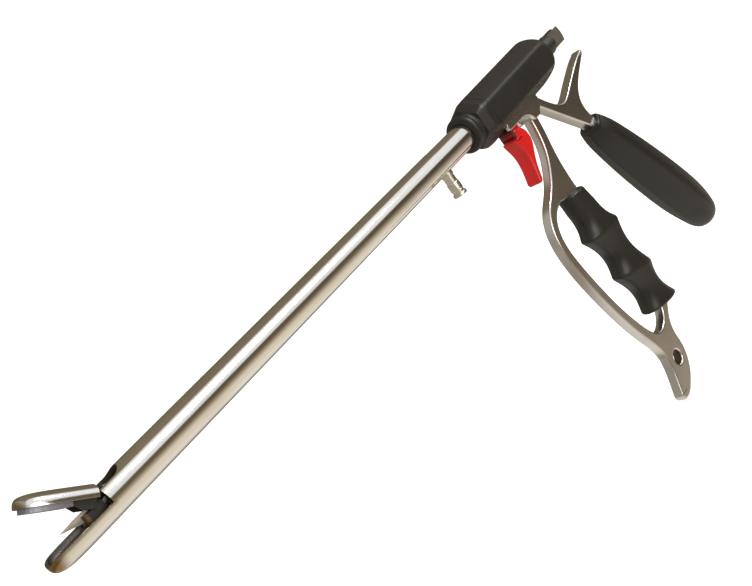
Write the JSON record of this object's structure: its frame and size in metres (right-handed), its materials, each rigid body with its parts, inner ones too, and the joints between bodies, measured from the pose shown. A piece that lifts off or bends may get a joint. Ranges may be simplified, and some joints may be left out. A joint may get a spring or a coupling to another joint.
{
  "type": "vessel sealing instrument",
  "caption": "Pistol-handled 10 mm shaft instrument with an opening jaw pair, central knife, squeeze lever, knife trigger, turning knob, flush port and cable connector.",
  "frame": {"origin": "on the shaft's axis, at the front face of the front collar", "axes": "+X along the shaft towards the cable connector, the jaws at -X; the handles hang towards -Z; Y=0 is the mid-plane of the handles and jaws"},
  "size_m": [0.3192, 0.0192, 0.1566],
  "materials": {
    "polished_steel": "bright polished stainless steel",
    "satin_steel": "satin cast stainless steel",
    "electrode_steel": "fine matt stainless steel",
    "knife_steel": "ground blade steel",
    "contact_metal": "dull plated contact metal",
    "black_housing": "smooth black high-temperature plastic",
    "black_grip": "smooth black moulded plastic",
    "grey_boot": "dark grey plastic",
    "dark_insulator": "dark insulating plastic",
    "red_plastic": "smooth red plastic",
    "bearing_plastic": "off-white bearing plastic",
    "seal_rubber": "matt rubber"
  },
  "bodies": {
    "handle": {"handle_frame": "satin_steel", "finger_grip": "black_grip", "housing": "black_housing", "rear_cap": "black_housing", "connector_boot": "grey_boot", "contact_core": "dark_insulator", "contact_blades": "contact_metal", "lever_pin": "polished_steel", "trigger_pin": "polished_steel", "front_bush": "bearing_plastic", "spring_seat": "bearing_plastic", "jaw_spring": "polished_steel"},
    "lever": {"thumb_lever": "satin_steel", "palm_grip": "black_grip"},
    "trigger": {"knife_trigger": "red_plastic"},
    "shaft": {"shaft_tube": "polished_steel", "lower_jaw": "polished_steel", "jaw_hinge_pin": "polished_steel", "lower_insulator": "dark_insulator", "lower_electrode": "electrode_steel", "guide_block": "dark_insulator", "knife_guide": "electrode_steel", "front_collar": "black_housing", "turning_knob": "black_housing", "shaft_journal": "polished_steel", "retaining_ring": "polished_steel", "rod_guides": "bearing_plastic", "shaft_seal": "seal_rubber", "flush_port": "polished_steel", "knife_spring": "polished_steel"},
    "upper_jaw": {"upper_jaw": "polished_steel", "upper_insulator": "dark_insulator", "upper_electrode": "electrode_steel", "cheek_pins": "polished_steel"},
    "jaw_rod": {"pull_tube": "polished_steel", "drive_tongue": "polished_steel", "drive_pin": "polished_steel", "jaw_spool": "bearing_plastic", "jaw_spool_pins": "polished_steel"},
    "knife": {"knife_blade": "knife_steel", "knife_rod": "polished_steel", "knife_spool": "bearing_plastic", "knife_cross_pin": "polished_steel"}
  },
  "joints": [
    {"name": "lever_squeeze", "type": "hinge", "parent": "handle", "child": "lever", "pos_m": [0.0438, 0, -0.0074], "axis": [0, 1, 0], "range_deg": [0, 18], "stiffness_Nm_per_rad": 0.6, "springref_deg": -20.05},
    {"name": "trigger_pull", "type": "hinge", "parent": "handle", "child": "trigger", "pos_m": [0.025, 0, -0.0086], "axis": [0, -1, 0], "range_deg": [0, 13], "stiffness_Nm_per_rad": 0.3, "springref_deg": -17.19},
    {"name": "shaft_rotation", "type": "hinge", "parent": "handle", "child": "shaft", "pos_m": [0, 0, 0], "axis": [1, 0, 0], "continuous": true},
    {"name": "jaw_rod_slide", "type": "slide", "parent": "shaft", "child": "jaw_rod", "axis": [1, 0, 0], "range_m": [0, 0.00222], "deforming": ["jaw_spring"]},
    {"name": "upper_jaw_hinge", "type": "hinge", "parent": "shaft", "child": "upper_jaw", "pos_m": [-0.1816, 0, 0.0025], "axis": [0, -1, 0], "range_deg": [0, 36]},
    {"name": "knife_slide", "type": "slide", "parent": "shaft", "child": "knife", "axis": [-1, 0, 0], "range_m": [0, 0.00227], "deforming": ["knife_spring"]}
  ],
  "couplings": [
    {"joint": "jaw_rod_slide", "follows": "lever_squeeze", "m_per_rad": 0.0070329},
    {"joint": "upper_jaw_hinge", "follows": "lever_squeeze", "ratio": 2},
    {"joint": "knife_slide", "follows": "trigger_pull", "m_per_rad": 0.0099786}
  ]
}
